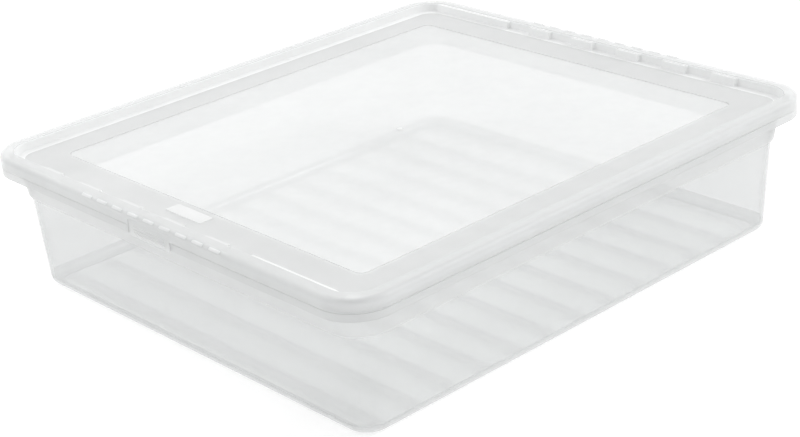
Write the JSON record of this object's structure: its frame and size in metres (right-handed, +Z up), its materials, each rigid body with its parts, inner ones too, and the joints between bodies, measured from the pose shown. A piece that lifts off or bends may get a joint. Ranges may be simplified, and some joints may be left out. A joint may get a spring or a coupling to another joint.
{
  "type": "under bed storage box",
  "caption": "Flat clear storage box with a tapered tub, a raised-rim lid that lifts off and a click tab in each short side.",
  "frame": {"origin": "middle of the underside of the tub, on the surface that the box stands on", "axes": "+X along the long side, +Y along the short side, +Z up"},
  "size_m": [0.67, 0.595, 0.157],
  "materials": {
    "clear_tub": "natural translucent polypropylene, polished walls, lightly frosted collar and flange",
    "clear_lid": "natural translucent polypropylene, frosted border round a smooth clear centre panel",
    "click_tab": "natural translucent polypropylene, lightly frosted"
  },
  "bodies": {
    "tub": {"tub": "clear_tub"},
    "lid": {"lid": "clear_lid"},
    "left_tab": {"left_click_tab": "click_tab"},
    "right_tab": {"right_click_tab": "click_tab"}
  },
  "joints": [
    {"name": "lid_lift", "type": "slide", "parent": "tub", "child": "lid", "axis": [0, 0, 1], "range_m": [0, 0.2]},
    {"name": "left_tab_flex", "type": "hinge", "parent": "lid", "child": "left_tab", "pos_m": [-0.3337, 0, 0.1486], "axis": [0, 1, 0], "range_deg": [0, 20], "stiffness_Nm_per_rad": 0.2},
    {"name": "right_tab_flex", "type": "hinge", "parent": "lid", "child": "right_tab", "pos_m": [0.3337, 0, 0.1486], "axis": [0, -1, 0], "range_deg": [0, 20], "stiffness_Nm_per_rad": 0.2}
  ]
}
